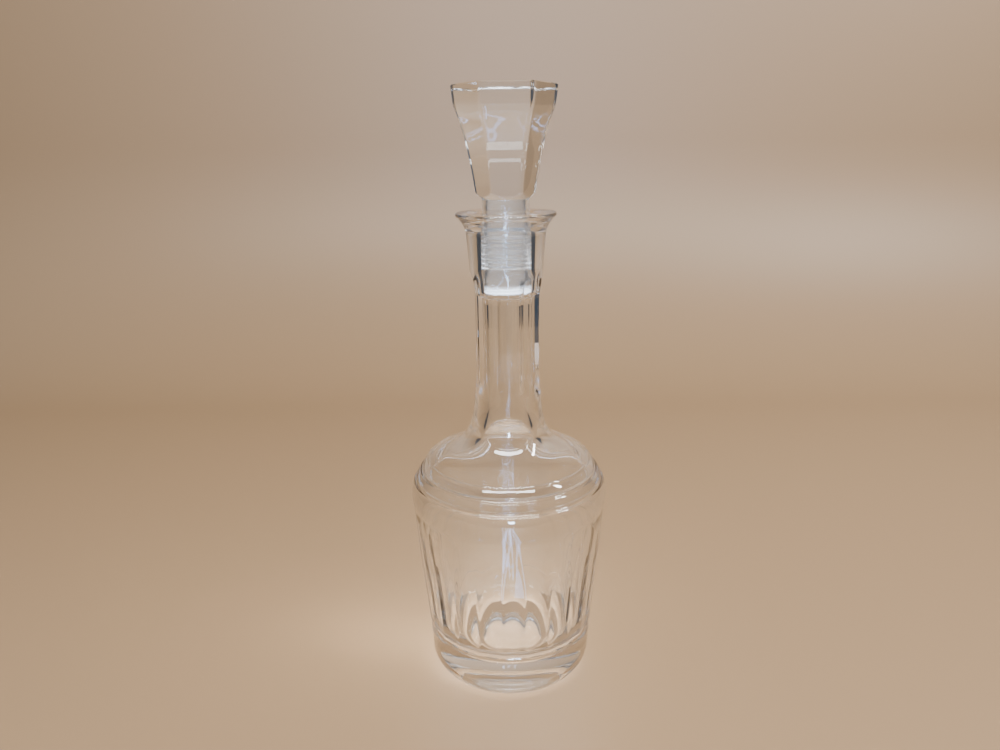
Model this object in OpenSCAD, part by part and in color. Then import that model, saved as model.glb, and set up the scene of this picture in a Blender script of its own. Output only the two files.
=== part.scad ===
// Cut crystal decanter: a fluted bottle, a ribbed plastic sleeve in its neck, and a six-panelled stopper.
// Millimetres. Z is the axis of the bottle, and the foot stands on Z = 0.

/* [Bottle] */
// Outer radius of the flat foot ring
foot_r = 36; // [34:0.5:37]
// Radius of the rounded heel between the foot and the plain band
heel_r = 11.5; // [9:0.5:12]
// Radius at the widest place, just below the cut rings
shoulder_r = 56.1; // [56:0.1:57.5]
// Height of the cavity floor
floor_z = 18; // [14:1:24]
// Radius of the bore through the neck
neck_bore_r = 9.6; // [8.8:0.1:10.2]
// Radius of the lip
lip_r = 26.5; // [25.5:0.1:27.5]
// Height of the top of the lip
lip_z = 267.8; // [266.5:0.1:269]

/* [Cutting] */
// Number of flutes round the body
flute_count = 24; // [20:1:24]
// Turn of the body flutes about the axis, in degrees
flute_turn = 2.3; // [0:0.1:15]
// Radius of the hollow of a body flute
flute_hollow_r = 60; // [55:1:65]
// Depth of a body flute at its lower end
flute_depth = 0.62; // [0.58:0.01:0.66]
// Number of flat panels round the neck
neck_panels = 8; // [6:1:10]
// Turn of the neck panels about the axis, in degrees
neck_panel_turn = 6.5; // [0:0.5:45]
// Distance from the axis to a neck panel
neck_panel_r = 16.6; // [16.4:0.1:17.2]
// Radius of the three ring cuts on the shoulder
ring_cut_r = 2; // [1.8:0.05:2.3]

/* [Stopper] */
// Height from the foot to the top of the seated stopper
total_z = 330; // [326:1:336]
// Distance from the axis to the middle of a panel, at the top
head_top_r = 23.5; // [22:0.5:25]
// Distance from the axis to the middle of a panel, at the bottom
head_bottom_r = 13.8; // [13.4:0.1:14.5]
// Turn of the stopper's panels about the axis, in degrees
head_turn = 3; // [-30:1:30]
// Radius of the glass peg
peg_r = 10; // [8:0.1:10.2]

/* [Sleeve] */
// Radius over the sealing ribs
rib_r = 13.3; // [13.2:0.05:13.3]
// Number of sealing ribs
rib_count = 8; // [4:1:8]
// Distance from one rib to the next
rib_pitch = 2.4; // [2.2:0.1:2.5]

/* [Hidden] */
$fn = 96;
curve_steps = 10;
slack = 1;

// Clearances of the two fits
rib_clearance = 0.05;
peg_clearance = 0.05;

// Radii and heights of the three ring cuts, from the lowest up
ring_places = [[53.1, 120], [49.6, 126], [45.4, 131.8]];
// How far a ring cut's centre stands out of the glass
ring_standoff = 1.15;

// Levels of the bottle
recess_r = 24;
recess_depth = 3.5;
band_top = [48.3, 28];
flank_mid = [52.2, 66];
flank_top = [55.1, 105];
neck_foot = [21.2, 150.5];
neck_r = 18.2;
neck_mid_z = 195;
cup = [21.2, 258];
lip_edge_r = 1.1;

// Levels of the cavity
floor_flat_r = 23;
wall_low = [42.2, 44];
wall_high = [49.5, 105];
shoulder_wall = [45.5, 121.5];
neck_root = [14.8, 143.4];
bore_foot_z = 180;
seat_z = 225.5;
seat_step_h = 2;
seat_r = rib_r + rib_clearance;
mouth_z = lip_z - 4;
mouth_r = seat_r + 2.2;

// Body flutes
flute_low_z = 30;
flute_top_z = 101;
flute_run_out = 3;
// Share of the pitch that a flute takes up, so that a narrow land is left between two flutes
flute_share = 0.85;

// Neck panels
panel_low_z = 181.3;
panel_high_z = 221.3;
panel_wheel_r = 45;

// Sleeve
sleeve_bottom_z = 226.5;
sleeve_top_z = 274.6;
sleeve_collar_r = 12.4;
sleeve_wall_r = 12.6;
sleeve_grip_top_z = 265.5;
sleeve_bottom_wall = 2.5;
sleeve_edge_r = 1.2;
rib_first_z = 240;
rib_half = 0.55;

// Stopper
head_z = 274.8;
head_bottom_z = 278.5;
head_shoulder = [21.9, 318.3];
head_seat_r = 12.6;
peg_gap = 0.6;
peg_end_r = 4;
bevel = 0.5;

function bezier(a, b, c, d, steps = curve_steps) =
    [for (i = [1 : steps]) let (t = i / steps, s = 1 - t)
        s * s * s * a + 3 * s * s * t * b + 3 * s * t * t * c + t * t * t * d];

function arc(centre, r, from, to, steps = curve_steps) =
    [for (i = [1 : steps]) let (angle = from + (to - from) * i / steps)
        centre + r * [cos(angle), sin(angle)]];

// Radius of the body's flank at a height, on the line from one outline point to another
function along(low, high, z) = low[0] + (high[0] - low[0]) * (z - low[1]) / (high[1] - low[1]);

// Outline of the bottle's outer face, from the foot up to the lip
function outer_outline() = concat(
    [[0, recess_depth]],
    bezier([0, recess_depth], [recess_r * 0.5, recess_depth], [recess_r * 0.83, recess_depth * 0.63], [recess_r, 0]),
    [[foot_r, 0]],
    arc([foot_r, heel_r], heel_r, -90, 0),
    [band_top, flank_mid, flank_top],
    bezier(flank_top, [shoulder_r, 109], [shoulder_r + 0.6, 116.5], ring_places[0]),
    bezier(ring_places[0], [52.4, 122.6], [51.2, 124.2], ring_places[1], 4),
    bezier(ring_places[1], [48.6, 128.4], [47.4, 129.9], ring_places[2], 4),
    bezier(ring_places[2], [39.4, 134.4], [27.7, 136.5], neck_foot, 16),
    bezier(neck_foot, [19.4, 156], [neck_r, 166], [neck_r, 178]),
    bezier([neck_r, 178], [neck_r, neck_mid_z + 10], [neck_r + 0.2, 230], cup, 14),
    bezier(cup, [21.9, 261], [23.6, 263.4], [lip_r - lip_edge_r, lip_z - 2 * lip_edge_r], 6),
    arc([lip_r - lip_edge_r, lip_z - lip_edge_r], lip_edge_r, -90, 90, 12),
    [[0, lip_z]]
);

// Outline of the cavity, from its floor up and out of the mouth
function cavity_outline() = concat(
    [[0, floor_z], [floor_flat_r, floor_z]],
    bezier([floor_flat_r, floor_z], [35, floor_z], [41.4, 29], wall_low, 14),
    [wall_high],
    bezier(wall_high, [50.2, 112], [48.8, 117], shoulder_wall, 6),
    bezier(shoulder_wall, [38, 130.5], [21, 131.5], neck_root, 14),
    bezier(neck_root, [12.4, 150], [neck_bore_r + 0.1, 160], [neck_bore_r, bore_foot_z]),
    [[neck_bore_r, seat_z - seat_step_h]],
    bezier(
        [neck_bore_r, seat_z - seat_step_h], [neck_bore_r, seat_z - 0.7],
        [seat_r, seat_z - 1.3], [seat_r, seat_z], 5
    ),
    [[seat_r, mouth_z]],
    bezier([seat_r, mouth_z], [seat_r, lip_z - 1.5], [seat_r + 0.8, lip_z], [mouth_r, lip_z], 6),
    [[mouth_r, lip_z + slack], [0, lip_z + slack]]
);

// Radius of the flank at a height between its foot and its top
function flank_r(z) = z < flank_mid[1] ? along(band_top, flank_mid, z) : along(flank_mid, flank_top, z);

// One body flute: a shallow hollow that is deepest at its square lower end and runs out at its top
module body_flute() {
    low = flank_r(flute_low_z) - flute_depth;
    high = flank_r(flute_top_z);
    rise = flute_top_z - flute_low_z;
    lean = atan((high - low) / rise);
    half_width = flute_share * low * sin(180 / flute_count);
    translate([low, 0, flute_low_z])
        rotate([0, lean, 0])
            linear_extrude((rise + flute_run_out) / cos(lean))
                intersection() {
                    translate([flute_hollow_r, 0])
                        circle(r = flute_hollow_r);
                    translate([0, -half_width])
                        square([half_width, 2 * half_width]);
                }
}

// One neck panel: a flat cut that runs out at both ends on the radius of the cutting wheel
module neck_panel() {
    centre_r = neck_panel_r + panel_wheel_r;
    half_width = 3 * neck_r;
    rotate([90, 0, 0])
        translate([0, 0, -half_width])
            linear_extrude(2 * half_width) {
                translate([centre_r, panel_low_z])
                    circle(r = panel_wheel_r);
                translate([centre_r, panel_high_z])
                    circle(r = panel_wheel_r);
                translate([neck_panel_r, panel_low_z])
                    square([panel_wheel_r, panel_high_z - panel_low_z]);
            }
}

module ring_cut(place) {
    rotate_extrude()
        translate([place[0] + ring_standoff, place[1] + ring_standoff])
            circle(r = ring_cut_r, $fn = 32);
}

module decanter_body() {
    color([0.86, 0.9, 0.93, 0.4])
    difference() {
        rotate_extrude()
            polygon(outer_outline());
        rotate_extrude()
            polygon(cavity_outline());
        for (i = [0 : flute_count - 1])
            rotate(flute_turn + i * 360 / flute_count)
                body_flute();
        for (place = ring_places)
            ring_cut(place);
        for (i = [0 : neck_panels - 1])
            rotate(neck_panel_turn + i * 360 / neck_panels)
                neck_panel();
    }
}

// Outline of the sleeve as a solid plug, from its closed end up
function sleeve_outline() = concat(
    [[0, sleeve_bottom_z], [sleeve_collar_r - sleeve_edge_r, sleeve_bottom_z]],
    arc([sleeve_collar_r - sleeve_edge_r, sleeve_bottom_z + sleeve_edge_r], sleeve_edge_r, -90, 0, 6),
    [[sleeve_wall_r, rib_first_z - rib_pitch], [sleeve_wall_r, sleeve_grip_top_z]],
    [[sleeve_collar_r, sleeve_grip_top_z + 1], [sleeve_collar_r, sleeve_top_z], [0, sleeve_top_z]]
);

// One soft rib, round at its crest
module sealing_rib(z) {
    translate([0, 0, z])
        rotate_extrude()
            difference() {
                translate([rib_r - rib_half, 0])
                    circle(r = rib_half, $fn = 32);
                translate([0, -slack])
                    square([sleeve_wall_r - 0.1, 2 * slack]);
            }
}

module stopper_sleeve() {
    hole_r = peg_r + peg_clearance;
    color([0.93, 0.95, 0.96, 0.5])
    difference() {
        union() {
            rotate_extrude()
                polygon(sleeve_outline());
            for (i = [0 : rib_count - 1])
                sealing_rib(rib_first_z + i * rib_pitch);
        }
        translate([0, 0, sleeve_bottom_z + sleeve_bottom_wall])
            cylinder(r = hole_r, h = sleeve_top_z - sleeve_bottom_z);
    }
}

// Half of the head's side view, as distances from the axis to the middle of a panel
function panel_outline() = concat(
    [[head_bottom_r - 0.5, head_z - slack], [head_bottom_r, head_bottom_z]],
    bezier([head_bottom_r, head_bottom_z], [15.4, 291], [17.4, 305], head_shoulder),
    bezier(head_shoulder, [22.9, 321], [head_top_r - 0.4, 325], [head_top_r, total_z - bevel], 5),
    [[head_top_r - bevel, total_z]]
);

// Two opposite panels, as a solid that spans the other four
module panel_pair() {
    half = panel_outline();
    mirrored = [for (i = [len(half) - 1 : -1 : 0]) [-half[i][0], half[i][1]]];
    half_width = 2 * head_top_r;
    rotate([90, 0, 0])
        translate([0, 0, -half_width])
            linear_extrude(2 * half_width)
                polygon(concat(half, mirrored));
}

// The head: six panels, taken in by a cone towards the round seat above the sleeve
module stopper_head() {
    intersection() {
        panel_pair();
        rotate(60)
            panel_pair();
        rotate(120)
            panel_pair();
        translate([0, 0, head_z])
            cylinder(r1 = head_seat_r, r2 = head_seat_r + total_z - head_z, h = total_z - head_z);
    }
}

// Outline of the peg, from its rounded end up into the head
function peg_outline() = let (end_z = sleeve_bottom_z + sleeve_bottom_wall + peg_gap) concat(
    [[0, end_z], [peg_r - peg_end_r, end_z]],
    arc([peg_r - peg_end_r, end_z + peg_end_r], peg_end_r, -90, 0, 8),
    [[peg_r, head_z + slack], [0, head_z + slack]]
);

module stopper() {
    color([0.86, 0.9, 0.93, 0.4]) {
        rotate(head_turn - 90)
            stopper_head();
        rotate_extrude()
            polygon(peg_outline());
    }
}

decanter_body();
stopper_sleeve();
stopper();
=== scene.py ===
"""Cut crystal decanter with its ribbed sleeve and hexagonal stopper, on a pale studio floor.

Lengths are written in millimetres, and MM turns them into metres. Z is the bottle's axis.
"""

from math import atan2, cos, degrees, hypot, pi, radians, sin, sqrt

import bpy
from mathutils import Matrix, Vector, noise


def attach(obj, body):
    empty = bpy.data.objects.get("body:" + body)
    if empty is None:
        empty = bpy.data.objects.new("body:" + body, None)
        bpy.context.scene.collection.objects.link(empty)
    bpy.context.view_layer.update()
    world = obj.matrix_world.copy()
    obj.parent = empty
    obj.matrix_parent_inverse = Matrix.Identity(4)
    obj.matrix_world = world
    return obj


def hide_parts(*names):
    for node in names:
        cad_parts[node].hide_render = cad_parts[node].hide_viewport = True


MM = 0.001

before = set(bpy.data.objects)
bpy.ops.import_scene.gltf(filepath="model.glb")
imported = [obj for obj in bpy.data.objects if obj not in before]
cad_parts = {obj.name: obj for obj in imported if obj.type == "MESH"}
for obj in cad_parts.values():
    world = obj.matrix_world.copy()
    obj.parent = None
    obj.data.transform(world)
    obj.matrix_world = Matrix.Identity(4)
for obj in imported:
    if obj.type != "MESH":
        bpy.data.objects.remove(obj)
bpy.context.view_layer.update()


# ---------------------------------------------------------------- outlines


def bezier(a, b, c, d, steps):
    """Points of a cubic curve after its first one."""
    points = []
    for i in range(1, steps + 1):
        t = i / steps
        s = 1 - t
        points.append(
            tuple(
                s * s * s * a[k] + 3 * s * s * t * b[k] + 3 * s * t * t * c[k] + t * t * t * d[k]
                for k in (0, 1)
            )
        )
    return points


def arc(centre, radius, start, end, steps):
    """Points of an arc after its first one. The angles are in degrees."""
    points = []
    for i in range(1, steps + 1):
        angle = radians(start + (end - start) * i / steps)
        points.append((centre[0] + radius * cos(angle), centre[1] + radius * sin(angle)))
    return points


def line(a, b, steps):
    """Points of a straight line after its first one."""
    return [
        (a[0] + (b[0] - a[0]) * i / steps, a[1] + (b[1] - a[1]) * i / steps)
        for i in range(1, steps + 1)
    ]


def grooved(outline, centre, radius, steps):
    """The outline with a round groove cut into it."""

    def crossing(inside, outside):
        low, high = 0.0, 1.0
        for _ in range(30):
            mid = (low + high) / 2
            point = (
                inside[0] + (outside[0] - inside[0]) * mid,
                inside[1] + (outside[1] - inside[1]) * mid,
            )
            if hypot(point[0] - centre[0], point[1] - centre[1]) < radius:
                low = mid
            else:
                high = mid
        return point

    inside = [hypot(p[0] - centre[0], p[1] - centre[1]) < radius for p in outline]
    first, last = inside.index(True), len(inside) - 1 - inside[::-1].index(True)
    entry = crossing(outline[first], outline[first - 1])
    leave = crossing(outline[last], outline[last + 1])
    start = degrees(atan2(entry[1] - centre[1], entry[0] - centre[0])) % 360
    end = degrees(atan2(leave[1] - centre[1], leave[0] - centre[0])) % 360
    cut = [entry] + arc(centre, radius, start, end, steps)
    return outline[:first] + cut + outline[last + 1 :]


# ---------------------------------------------------------------- bottle, as in the CAD part

FOOT_R = 36
HEEL_R = 11.5
RECESS_R = 24
RECESS_DEPTH = 3.5
BAND_TOP = (48.3, 28)
FLANK_MID = (52.2, 66)
FLANK_TOP = (55.1, 105)
SHOULDER_R = 56.1
RINGS = [(53.1, 120), (49.6, 126), (45.4, 131.8)]
RING_STANDOFF = 1.15
RING_CUT_R = 2
NECK_FOOT = (21.2, 150.5)
NECK_R = 18.2
CUP = (21.2, 258)
LIP_R = 26.5
LIP_Z = 267.8
LIP_EDGE_R = 1.1

FLOOR_Z = 18
WALL_LOW = (42.2, 44)
WALL_HIGH = (49.5, 105)
BORE_R = 9.6
SEAT_R = 13.35
SEAT_Z = 225.5

FLUTES = 24
FLUTE_TURN = 2.3
FLUTE_R = 60
FLUTE_DEPTH = 0.62
FLUTE_LOW_Z = 30
FLUTE_TOP_Z = 101
FLUTE_TOP_R = 54.8
PANELS = 8
PANEL_TURN = 6.5
PANEL_DISTANCE = 16.6
PANEL_LOW_Z = 181.3
PANEL_HIGH_Z = 221.3
WHEEL_R = 45
POLISH = 0.22

COLUMNS_PER_FLUTE = 25
# Height above the plain band over which the rings lie close, for the flutes' square lower ends
CLOSE_RINGS = 3.5


def outer_outline():
    """The bottle's outer face, from the middle of the foot to the top of the lip."""
    widening = (FLANK_MID[0] - BAND_TOP[0]) * CLOSE_RINGS / (FLANK_MID[1] - BAND_TOP[1])
    flank_low = (BAND_TOP[0] + widening, BAND_TOP[1] + CLOSE_RINGS)
    flank = line(BAND_TOP, flank_low, 12) + line(flank_low, FLANK_MID, 24) + line(FLANK_MID, FLANK_TOP, 22)
    roll = bezier(FLANK_TOP, (SHOULDER_R, 109), (SHOULDER_R + 0.6, 116.5), RINGS[0], 16)
    tiers = bezier(RINGS[0], (52.4, 122.6), (51.2, 124.2), RINGS[1], 10)
    tiers += bezier(RINGS[1], (48.6, 128.4), (47.4, 129.9), RINGS[2], 10)
    dome = bezier(RINGS[2], (39.4, 134.4), (27.7, 136.5), NECK_FOOT, 32)
    shoulder = roll + tiers + dome
    for ring in RINGS:
        centre = (ring[0] + RING_STANDOFF, ring[1] + RING_STANDOFF)
        shoulder = grooved(shoulder, centre, RING_CUT_R, 8)
    foot = bezier((0, RECESS_DEPTH), (12, RECESS_DEPTH), (20, 2.2), (RECESS_R, 0), 14)
    heel = arc((FOOT_R, HEEL_R), HEEL_R, -90, 0, 14)
    heel += line(heel[-1], BAND_TOP, 10)
    neck = bezier(NECK_FOOT, (19.4, 156), (NECK_R, 166), (NECK_R, 178), 18)
    neck += bezier((NECK_R, 178), (NECK_R, 205), (NECK_R + 0.2, 230), CUP, 44)
    flare_end = (LIP_R - LIP_EDGE_R, LIP_Z - 2 * LIP_EDGE_R)
    lip = bezier(CUP, (21.9, 261), (23.6, 263.4), flare_end, 10)
    lip += arc((LIP_R - LIP_EDGE_R, LIP_Z - LIP_EDGE_R), LIP_EDGE_R, -90, 90, 12)
    return foot + line((RECESS_R, 0), (FOOT_R, 0), 4) + heel + flank + shoulder + neck + lip


def inner_outline():
    """The cavity, from the lip down to the middle of its floor."""
    mouth_z = LIP_Z - 4
    mouth_edge = (SEAT_R + 2.2, LIP_Z)
    mouth = bezier((SEAT_R, mouth_z), (SEAT_R, LIP_Z - 1.5), (SEAT_R + 0.8, LIP_Z), mouth_edge, 8)
    funnel_z = SEAT_Z - 2
    seat_foot = (SEAT_R, SEAT_Z)
    funnel = bezier((BORE_R, funnel_z), (BORE_R, SEAT_Z - 0.7), (SEAT_R, SEAT_Z - 1.3), seat_foot, 10)
    bore = bezier((14.8, 143.4), (12.4, 150), (9.7, 160), (BORE_R, 180), 20)
    shoulder = bezier(WALL_HIGH, (50.2, 112), (48.8, 117), (45.5, 121.5), 12)
    shoulder += bezier((45.5, 121.5), (38, 130.5), (21, 131.5), (14.8, 143.4), 26)
    base = bezier((23, FLOOR_Z), (35, FLOOR_Z), (41.4, 29), WALL_LOW, 24)
    upward = line((0, FLOOR_Z), (23, FLOOR_Z), 10) + base + line(WALL_LOW, WALL_HIGH, 14)
    upward += shoulder + bore + line((BORE_R, 180), (BORE_R, funnel_z), 12)
    upward += funnel + line(seat_foot, (SEAT_R, mouth_z), 12) + mouth
    return upward[::-1]


def soft_min(a, b, width):
    """The smaller of two radii, with the edge between them rounded over that width."""
    overlap = max(width - abs(a - b), 0)
    return min(a, b) - overlap * overlap / (4 * width)


FLUTE_LOW_R = (
    BAND_TOP[0]
    + (FLANK_MID[0] - BAND_TOP[0]) * (FLUTE_LOW_Z - BAND_TOP[1]) / (FLANK_MID[1] - BAND_TOP[1])
    + FLUTE_R
    - FLUTE_DEPTH
)
FLUTE_SLOPE = (FLUTE_TOP_R + FLUTE_R - FLUTE_LOW_R) / (FLUTE_TOP_Z - FLUTE_LOW_Z)


def flute_cut(angle, z):
    """How far from the axis the body flute nearest to this angle leaves the glass."""
    pitch = 2 * pi / FLUTES
    away = (angle - radians(FLUTE_TURN) + pitch / 2) % pitch - pitch / 2
    centre = FLUTE_LOW_R + FLUTE_SLOPE * (z - FLUTE_LOW_Z)
    edge = FLUTE_R - max(FLUTE_LOW_Z - z, 0)
    reach = edge * edge - (centre * sin(away)) ** 2
    return centre * cos(away) - sqrt(reach) if reach > 0 else 1000


def panel_cut(angle, z):
    """How far from the axis the neck panel nearest to this angle leaves the glass."""
    pitch = 2 * pi / PANELS
    away = (angle - radians(PANEL_TURN) + pitch / 2) % pitch - pitch / 2
    past = max(PANEL_LOW_Z - z, z - PANEL_HIGH_Z, 0)
    if past >= WHEEL_R:
        return 1000
    return (PANEL_DISTANCE + WHEEL_R - sqrt(WHEEL_R * WHEEL_R - past * past)) / cos(away)


def bottle_radius(blank, angle, z):
    """The blank's radius, or less where a flute or a panel is cut into it."""
    if 24 < z < 104:
        return soft_min(blank, flute_cut(angle, z), POLISH)
    if 140 < z < 256:
        return soft_min(blank, panel_cut(angle, z), POLISH)
    return blank


# ---------------------------------------------------------------- meshes


def turned(name, rows, columns, angle_of, body, material, replaced):
    """A closed solid made of rings of points. rows gives (radius function, height) for each ring,
    and the solid is closed by a point on the axis at each end."""
    verts = [(0, 0, rows[0][1] * MM)]
    for radius, z in rows[1:-1]:
        for column in range(columns):
            angle = angle_of(column)
            r = radius(angle, z) * MM
            verts.append((r * cos(angle), r * sin(angle), z * MM))
    verts.append((0, 0, rows[-1][1] * MM))
    faces = []
    rings = len(rows) - 2
    for column in range(columns):
        after = (column + 1) % columns
        faces.append((0, 1 + after, 1 + column))
        for ring in range(rings - 1):
            low = 1 + ring * columns
            high = low + columns
            faces.append((low + column, low + after, high + after, high + column))
        last = 1 + (rings - 1) * columns
        faces.append((last + column, last + after, len(verts) - 1))
    mesh = bpy.data.meshes.new(name)
    mesh.from_pydata(verts, [], faces)
    mesh.update()
    mesh.materials.append(material)
    piece = bpy.data.objects.new(name, mesh)
    bpy.context.scene.collection.objects.link(piece)
    mesh.shade_smooth()
    piece.visible_shadow = False
    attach(piece, body)
    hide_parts(replaced)
    return piece


def fixed(radius):
    """A ring of one radius all round."""
    return lambda angle, z: radius


def cut(radius):
    """A ring of the bottle's outer face."""
    return lambda angle, z: bottle_radius(radius, angle, z)


def rippled(radius):
    """A ring of the blown cavity, which is never quite round."""

    def ring(angle, z):
        place = Vector((cos(angle) * 1.6, sin(angle) * 1.6, z * 0.035))
        return radius + 0.16 * noise.noise(place) * min(radius / 20, 1)

    return ring


# ---------------------------------------------------------------- materials


def new_material(name):
    material = bpy.data.materials.new(name)
    material.use_nodes = True
    nodes, links = material.node_tree.nodes, material.node_tree.links
    shader = nodes["Principled BSDF"]
    return material, nodes, links, shader


def noise_field(nodes, links, scale, detail, stretch=(1, 1, 1)):
    """A noise texture in the object's own metres, stretched along an axis where asked."""
    place = nodes.new("ShaderNodeTexCoord")
    mapping = nodes.new("ShaderNodeMapping")
    mapping.inputs["Scale"].default_value = stretch
    field = nodes.new("ShaderNodeTexNoise")
    field.inputs["Scale"].default_value = scale
    field.inputs["Detail"].default_value = detail
    links.new(place.outputs["Object"], mapping.inputs["Vector"])
    links.new(mapping.outputs["Vector"], field.inputs["Vector"])
    return field


def ramp(nodes, links, source, low, high, start, end):
    """source, from start to end, turned into values from low to high."""
    scaled = nodes.new("ShaderNodeMapRange")
    scaled.inputs["From Min"].default_value = start
    scaled.inputs["From Max"].default_value = end
    scaled.inputs["To Min"].default_value = low
    scaled.inputs["To Max"].default_value = high
    links.new(source, scaled.inputs["Value"])
    return scaled


def crystal():
    """Polished lead crystal: clear, faintly cool, with wheel marks and a little handling haze."""
    material, nodes, links, shader = new_material("crystal")
    shader.inputs["Base Color"].default_value = (0.985, 0.992, 0.995, 1)
    shader.inputs["IOR"].default_value = 1.545
    shader.inputs["Transmission Weight"].default_value = 1
    haze = noise_field(nodes, links, 38, 3)
    rough = ramp(nodes, links, haze.outputs["Fac"], 0.0, 0.025, 0.52, 0.75)
    links.new(rough.outputs["Result"], shader.inputs["Roughness"])
    marks = noise_field(nodes, links, 55, 2, (1, 1, 0.35))
    bump = nodes.new("ShaderNodeBump")
    bump.inputs["Strength"].default_value = 0.12
    bump.inputs["Distance"].default_value = 0.0004
    links.new(marks.outputs["Fac"], bump.inputs["Height"])
    links.new(bump.outputs["Normal"], shader.inputs["Normal"])
    return material


def clear_plastic():
    """Soft plastic, clear but milky near its closed end, with the dull patches of a moulded surface."""
    material, nodes, links, shader = new_material("clear_plastic")
    shader.inputs["Base Color"].default_value = (0.93, 0.95, 0.96, 1)
    shader.inputs["IOR"].default_value = 1.43
    place = nodes.new("ShaderNodeTexCoord")
    split = nodes.new("ShaderNodeSeparateXYZ")
    links.new(place.outputs["Object"], split.inputs["Vector"])
    clear = ramp(nodes, links, split.outputs["Z"], 0.55, 0.99, 0.2265, 0.232)
    links.new(clear.outputs["Result"], shader.inputs["Transmission Weight"])
    dull = noise_field(nodes, links, 160, 4)
    rough = ramp(nodes, links, dull.outputs["Fac"], 0.0, 0.05, 0.35, 0.7)
    links.new(rough.outputs["Result"], shader.inputs["Roughness"])
    grain = noise_field(nodes, links, 420, 2)
    bump = nodes.new("ShaderNodeBump")
    bump.inputs["Strength"].default_value = 0.2
    bump.inputs["Distance"].default_value = 0.0002
    links.new(grain.outputs["Fac"], bump.inputs["Height"])
    links.new(bump.outputs["Normal"], shader.inputs["Normal"])
    return material


CRYSTAL = crystal()
PLASTIC = clear_plastic()


# ---------------------------------------------------------------- pieces


def make_bottle():
    outer, inner = outer_outline(), inner_outline()
    rows = [(None, RECESS_DEPTH)]
    rows += [(cut(r), z) for r, z in outer]
    rows += [(rippled(r) if z < SEAT_Z - 8 else fixed(r), z) for r, z in inner[:-1]]
    rows += [(None, FLOOR_Z)]
    columns = FLUTES * COLUMNS_PER_FLUTE
    ridge = radians(FLUTE_TURN + 180 / FLUTES)
    return turned(
        "bottle", rows, columns, lambda c: ridge + 2 * pi * c / columns,
        "decanter", CRYSTAL, "decanter_body",
    )


SLEEVE_BOTTOM = 226.5
SLEEVE_TOP = 274.6
COLLAR_R = 12.4
WALL_R = 12.6
GRIP_TOP = 265.5
RIB_R = 13.3
RIB_HALF = 0.55
RIB_FIRST = 240
RIB_PITCH = 2.4
RIBS = 8
PEG_R = 10
PEG_GAP = 0.05
SLEEVE_FLOOR = 2.5
SLEEVE_EDGE_R = 1.2
SLEEVE_COLUMNS = 160


def make_sleeve():
    outline = line((0, SLEEVE_BOTTOM), (COLLAR_R - SLEEVE_EDGE_R, SLEEVE_BOTTOM), 5)
    outline += arc((COLLAR_R - SLEEVE_EDGE_R, SLEEVE_BOTTOM + SLEEVE_EDGE_R), SLEEVE_EDGE_R, -90, 0, 6)
    outline += line(outline[-1], (WALL_R, RIB_FIRST - RIB_PITCH), 6)
    for rib in range(RIBS):
        middle = RIB_FIRST + rib * RIB_PITCH
        outline.append((WALL_R, middle - RIB_HALF - 0.25))
        outline += arc((RIB_R - RIB_HALF, middle), RIB_HALF, -80, 80, 10)
        outline.append((WALL_R, middle + RIB_HALF + 0.25))
    outline += line((WALL_R, GRIP_TOP - 4), (WALL_R, GRIP_TOP), 3)
    outline += line((WALL_R, GRIP_TOP), (COLLAR_R, GRIP_TOP + 1), 2)
    outline += line(outline[-1], (COLLAR_R, SLEEVE_TOP - 0.3), 6)
    outline += line(outline[-1], (COLLAR_R - 0.3, SLEEVE_TOP), 2)
    bore = PEG_R + PEG_GAP
    floor = SLEEVE_BOTTOM + SLEEVE_FLOOR
    outline += line(outline[-1], (bore, SLEEVE_TOP), 2)
    outline += line((bore, SLEEVE_TOP), (bore, floor), 24)
    outline += line((bore, floor), (0, floor), 5)
    rows = [(None, SLEEVE_BOTTOM)] + [(fixed(r), z) for r, z in outline[:-1]] + [(None, floor)]
    sleeve = turned(
        "sleeve", rows, SLEEVE_COLUMNS, lambda c: 2 * pi * c / SLEEVE_COLUMNS,
        "sleeve", PLASTIC, "stopper_sleeve",
    )
    sleeve.data.set_sharp_from_angle(angle=radians(35))
    return sleeve


TOTAL_Z = 330
HEAD_Z = 274.8
HEAD_BOTTOM = (13.8, 278.5)
HEAD_SHOULDER = (21.9, 318.3)
HEAD_TOP_R = 23.5
HEAD_SEAT_R = 12.6
HEAD_TURN = 3
BEVEL = 0.5
PEG_END_R = 4
EDGE_POLISH = 0.22


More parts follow.
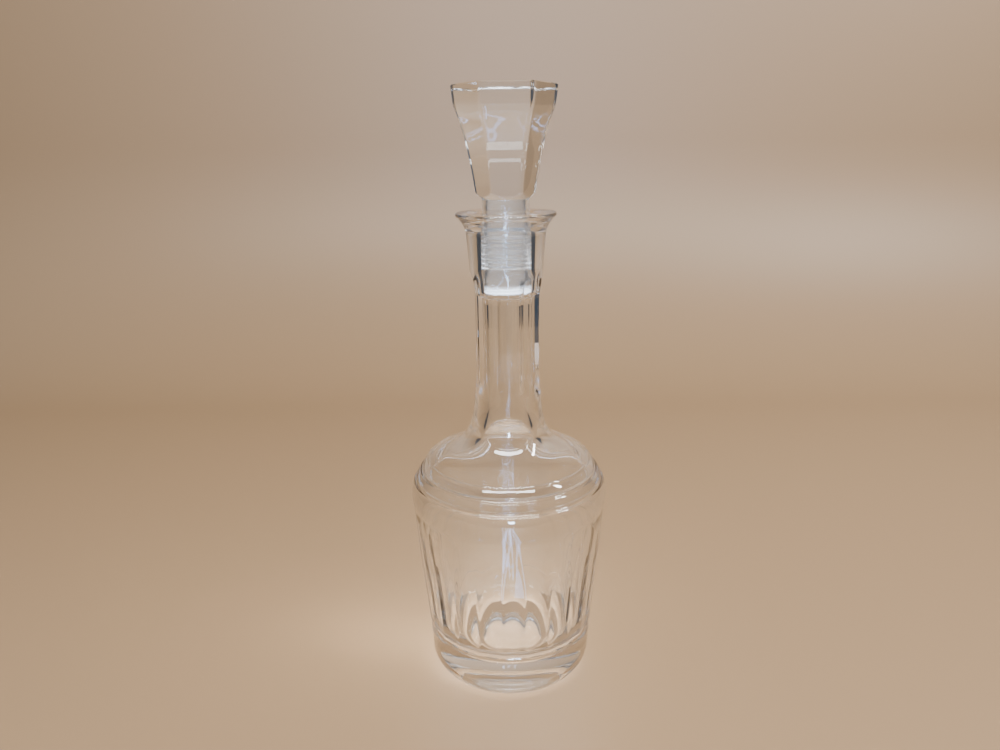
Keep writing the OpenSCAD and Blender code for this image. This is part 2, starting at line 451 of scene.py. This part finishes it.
def make_stopper():
    side = [(HEAD_BOTTOM[0] - 0.5, HEAD_Z)]
    side += line(side[0], HEAD_BOTTOM, 8)
    side += bezier(HEAD_BOTTOM, (15.4, 291), (17.4, 305), HEAD_SHOULDER, 30)
    side += bezier(HEAD_SHOULDER, (22.9, 321), (HEAD_TOP_R - 0.4, 325), (HEAD_TOP_R, TOTAL_Z - BEVEL), 10)
    offsets = [-30 + step * 3 for step in range(1, 20)]
    offsets += [sign * (30 - near) for near in (0.35, 0.8, 1.4) for sign in (-1, 1)]
    offsets = sorted(offsets + [-30])
    columns = 6 * len(offsets)

    def angle_of(column):
        face, place = divmod(column, len(offsets))
        return radians(HEAD_TURN + 30 + 60 * face + offsets[place])

    def head(distance):
        def ring(angle, z):
            away = (angle - radians(HEAD_TURN + 30) + pi / 6) % (pi / 3) - pi / 6
            cone = HEAD_SEAT_R + z - HEAD_Z
            polished = (distance / cos(pi / 6) - EDGE_POLISH) / cos(pi / 6 - abs(away))
            flat = soft_min(distance / cos(away), polished, 0.3)
            return soft_min(flat, cone, 0.2)

        return ring

    end = SLEEVE_BOTTOM + SLEEVE_FLOOR + 0.6
    rows = [(None, end)]
    rows += [(fixed(r), z) for r, z in line((0, end), (PEG_R - PEG_END_R, end), 4)]
    rows += [(fixed(r), z) for r, z in arc((PEG_R - PEG_END_R, end + PEG_END_R), PEG_END_R, -90, 0, 10)]
    rows += [(fixed(r), z) for r, z in line((PEG_R, end + PEG_END_R), (PEG_R, HEAD_Z), 24)]
    rows += [(fixed(r), z) for r, z in line((PEG_R, HEAD_Z), (HEAD_SEAT_R, HEAD_Z), 3)]
    rows += [(head(r), z) for r, z in side[1:]]
    rows += [(head(r), TOTAL_Z) for r in (HEAD_TOP_R - BEVEL, 20, 15, 10, 5)]
    rows += [(None, TOTAL_Z)]
    stopper = turned(
        "stopper_glass", rows, columns, angle_of,
        "stopper", CRYSTAL, "stopper",
    )
    stopper.data.set_sharp_from_angle(angle=radians(14))
    return stopper


make_bottle()
make_sleeve()
make_stopper()


# ---------------------------------------------------------------- studio


def studio_sweep():
    """A pale floor that curves up into a pale wall."""
    half, front, back, height, radius = 0.85, -0.7, 0.75, 1.4, 0.3
    outline = [(front, 0), (back - radius, 0)]
    for i in range(1, 17):
        angle = radians(90 * i / 16)
        outline.append((back - radius + radius * sin(angle), radius - radius * cos(angle)))
    outline.append((back, height))
    verts = [(x, y, z) for y, z in outline for x in (-half, half)]
    faces = [(2 * i, 2 * i + 1, 2 * i + 3, 2 * i + 2) for i in range(len(outline) - 1)]
    mesh = bpy.data.meshes.new("sweep")
    mesh.from_pydata(verts, [], faces)
    mesh.shade_smooth()
    sweep = bpy.data.objects.new("sweep", mesh)
    bpy.context.scene.collection.objects.link(sweep)
    material, nodes, links, shader = new_material("sweep")
    shader.inputs["Base Color"].default_value = (0.26, 0.16, 0.08, 1)
    shader.inputs["Roughness"].default_value = 0.5
    mesh.materials.append(material)


def soft_light(name, place, target, size, power, colour=(1, 1, 1)):
    data = bpy.data.lights.new(name, "AREA")
    data.shape = "RECTANGLE"
    data.size, data.size_y = size
    data.energy = power
    data.color = colour
    light = bpy.data.objects.new(name, data)
    light.location = place
    aim = Vector(target) - Vector(place)
    light.rotation_euler = aim.to_track_quat("-Z", "Y").to_euler()
    bpy.context.scene.collection.objects.link(light)
    return light


def make_camera():
    """A camera 0.4 m in front of the axis and a little above the bottle's middle, looking down."""
    data = bpy.data.cameras.new("camera")
    data.sensor_width = 36
    data.lens = 27.11
    data.clip_start = 0.01
    data.dof.use_dof = False
    camera = bpy.data.objects.new("camera", data)
    bpy.context.scene.collection.objects.link(camera)
    down, left, roll = radians(17.2), radians(0.6), radians(0.81)
    tilt = Matrix.Rotation(pi / 2 - down, 4, "X")
    turn = Matrix.Rotation(left, 4, "Z") @ tilt @ Matrix.Rotation(-roll, 4, "Z")
    camera.matrix_world = Matrix.Translation((0, -0.3989, 0.3026)) @ turn
    bpy.context.scene.camera = camera


studio_sweep()
soft_light("ceiling_strip", (0, -0.8, 1.45), (0, 0, 0.15), (1.5, 0.2), 48)
soft_light("window", (0.08, -1.9, 0.62), (0, 0, 0.2), (0.22, 0.5), 50, (0.5, 0.68, 1))
soft_light("side_strip", (1.15, -0.25, 1.25), (0, 0, 0.15), (0.12, 0.6), 30)
# Narrow strips on the table, which only show as streaks in the glass
for name, x in (("left_card", -0.016), ("middle_card", 0.004), ("right_card", 0.026)):
    card = soft_light(name, (x, -0.33, 0.003), (x, -0.33, 1), (0.008, 0.42), 0.1, (0.3, 0.5, 1))
    card.visible_camera = False
make_camera()


def studio_world():
    """Dim blue-grey surroundings, brighter above."""
    world = bpy.data.worlds.new("world")
    world.use_nodes = True
    nodes, links = world.node_tree.nodes, world.node_tree.links
    place = nodes.new("ShaderNodeTexCoord")
    split = nodes.new("ShaderNodeSeparateXYZ")
    height = nodes.new("ShaderNodeMixRGB")
    height.inputs["Color1"].default_value = (0.06, 0.074, 0.092, 1)
    height.inputs["Color2"].default_value = (0.33, 0.38, 0.46, 1)
    front = nodes.new("ShaderNodeMixRGB")
    front.inputs["Color2"].default_value = (0.075, 0.095, 0.125, 1)
    rise = ramp(nodes, links, split.outputs["Z"], 0, 1, 0.1, 0.9)
    ahead = ramp(nodes, links, split.outputs["Y"], 1, 0, -0.85, -0.45)
    links.new(place.outputs["Generated"], split.inputs["Vector"])
    links.new(rise.outputs["Result"], height.inputs["Fac"])
    links.new(ahead.outputs["Result"], front.inputs["Fac"])
    links.new(height.outputs["Color"], front.inputs["Color1"])
    links.new(front.outputs["Color"], nodes["Background"].inputs["Color"])
    nodes["Background"].inputs["Strength"].default_value = 0.75
    bpy.context.scene.world = world


studio_world()

# Light crosses many faces of cut glass before it comes out
bpy.context.scene.cycles.max_bounces = 32
bpy.context.scene.cycles.transmission_bounces = 32
bpy.context.scene.cycles.glossy_bounces = 12
